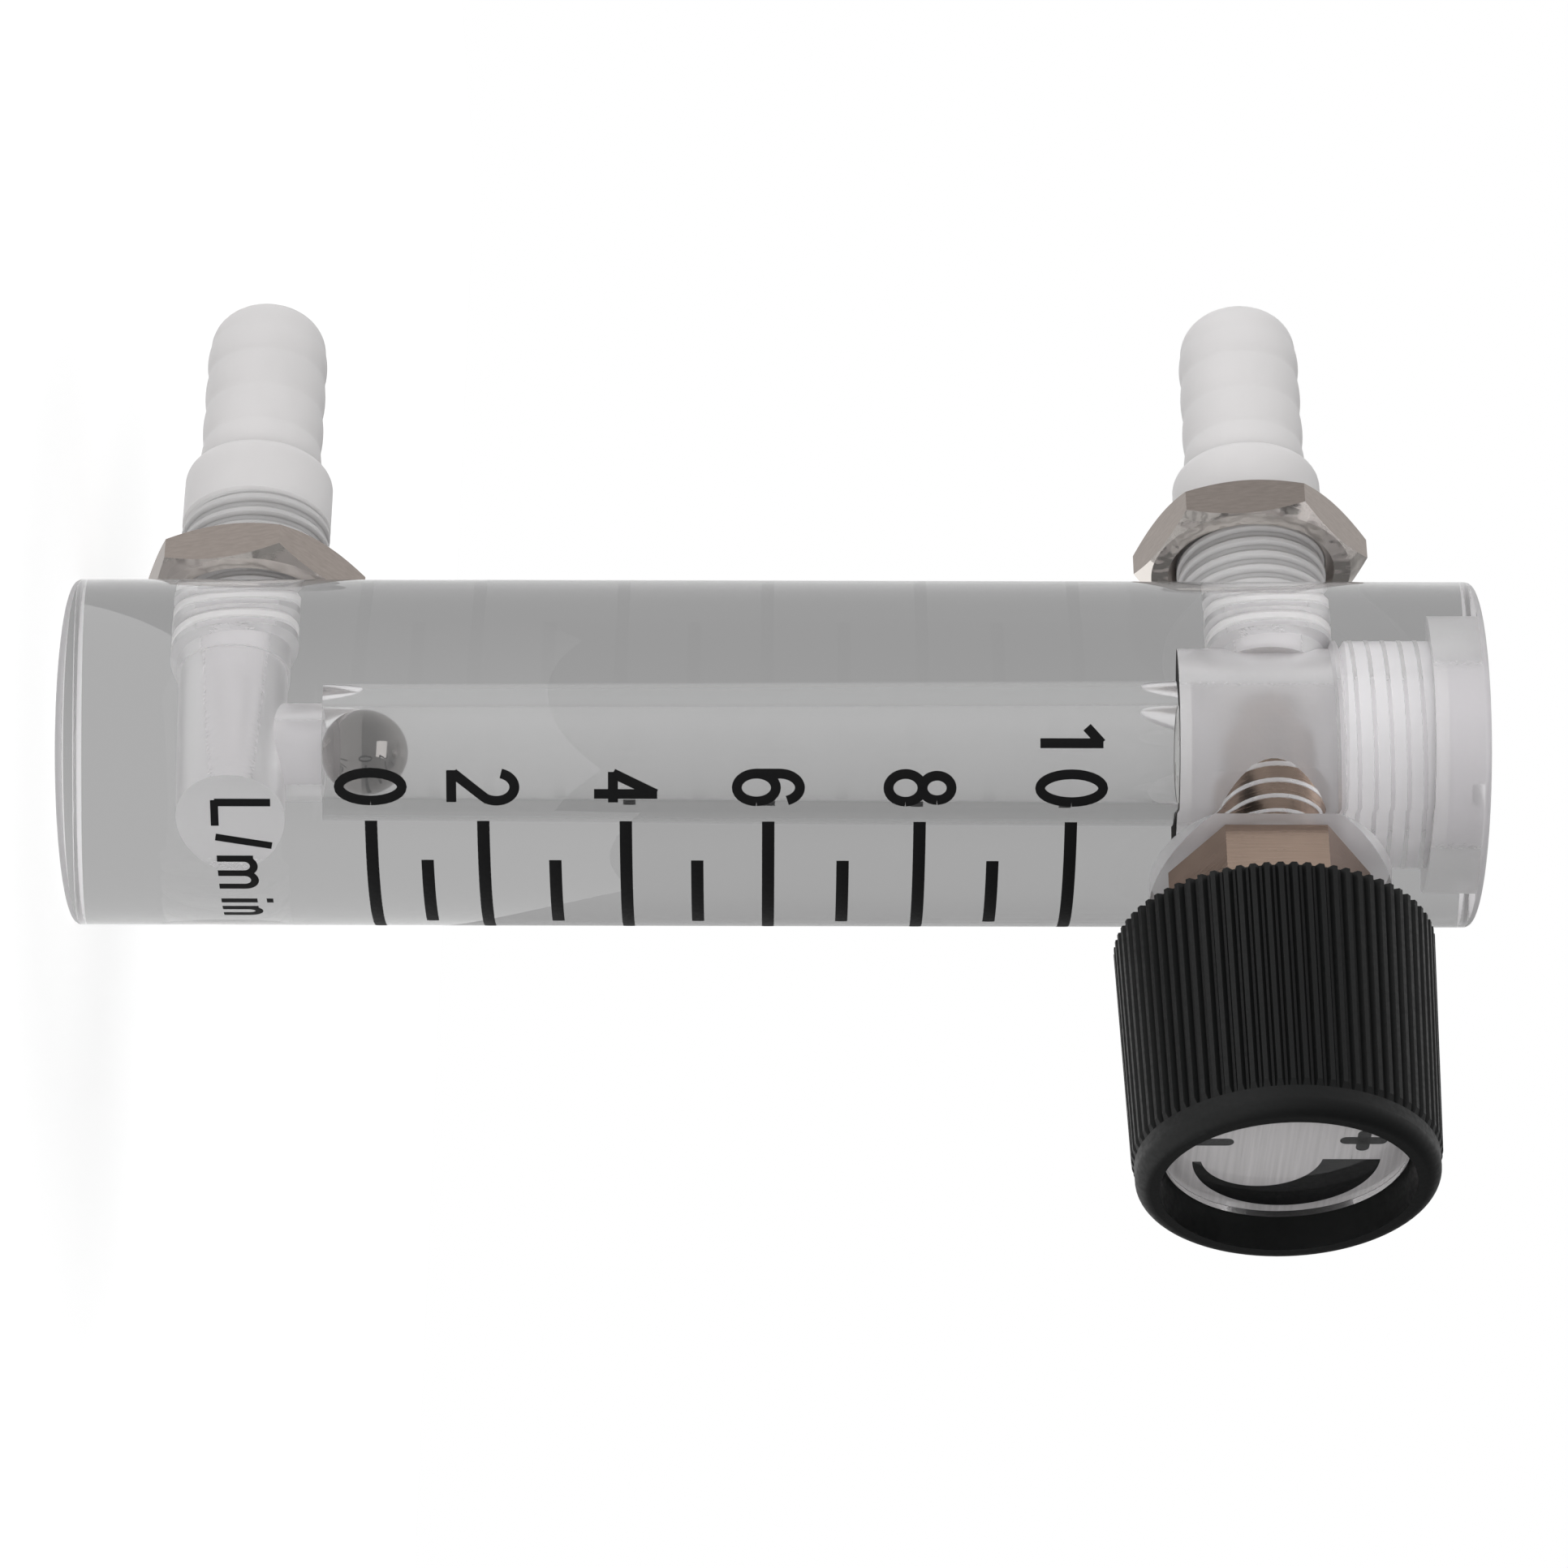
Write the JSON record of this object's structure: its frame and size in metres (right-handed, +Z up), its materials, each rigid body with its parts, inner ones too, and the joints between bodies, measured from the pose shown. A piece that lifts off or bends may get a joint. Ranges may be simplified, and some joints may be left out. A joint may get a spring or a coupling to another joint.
{
  "type": "oxygen flowmeter",
  "caption": "Panel-mount oxygen flowmeter: clear acrylic tube block with float ball and scale, needle valve with ribbed knob, and two hose barbs with panel nuts.",
  "frame": {"origin": "centre of the block's flat bottom end face", "axes": "+Z up the block along the float's bore; -Y out of the front, where the valve and its knob are; +Y out of the back, where the hose barbs are"},
  "size_m": [0.02, 0.0602, 0.0806],
  "materials": {
    "acrylic": "polished clear",
    "ball_steel": "polished",
    "disc_plastic": "satin",
    "plug_nylon": "satin",
    "gasket_white": "matte",
    "barb_nylon": "satin",
    "nut_nickel": "nickel plate",
    "valve_nickel": "nickel plate",
    "seal_rubber": "matte",
    "stem_steel": "turned",
    "clip_steel": "spring steel",
    "knob_black": "satin",
    "insert_brass": "turned",
    "screw_steel": "zinc plate",
    "label_metal": "brushed",
    "window_clear": "polished clear"
  },
  "bodies": {
    "block": {"flow_body": "acrylic", "ball_stop": "disc_plastic", "end_plug": "plug_nylon", "plug_gasket": "gasket_white", "lower_barb": "barb_nylon", "upper_barb": "barb_nylon", "valve_body": "valve_nickel", "valve_seal": "seal_rubber", "tip_seal": "seal_rubber", "stem_clip": "clip_steel"},
    "ball": {"float_ball": "ball_steel"},
    "seal": {"stem_oring": "seal_rubber"},
    "knob": {"valve_stem": "stem_steel", "knob": "knob_black", "knob_insert": "insert_brass", "knob_screw": "screw_steel", "knob_label": "label_metal", "knob_window": "window_clear"},
    "lower_nut": {"lower_nut": "nut_nickel"},
    "upper_nut": {"upper_nut": "nut_nickel"}
  },
  "joints": [
    {"name": "ball_travel", "type": "slide", "parent": "block", "child": "ball", "axis": [0, 0, 1], "range_m": [-0.00068, 0.0437]},
    {"name": "valve_travel", "type": "slide", "parent": "block", "child": "seal", "axis": [0, -1, 0], "range_m": [-0.00101, 0.00101]},
    {"name": "knob_turn", "type": "hinge", "parent": "seal", "child": "knob", "pos_m": [0, -0.02, 0.0686], "axis": [0, -1, 0], "range_deg": [-720, 720]},
    {"name": "lower_nut_travel", "type": "slide", "parent": "block", "child": "lower_nut", "axis": [0, 1, 0], "range_m": [-0.0015, 0.007]},
    {"name": "upper_nut_travel", "type": "slide", "parent": "block", "child": "upper_nut", "axis": [0, 1, 0], "range_m": [-0.0048, 0.0036]}
  ],
  "couplings": [
    {"joint": "valve_travel", "follows": "knob_turn", "m_per_rad": 0.000079577}
  ]
}
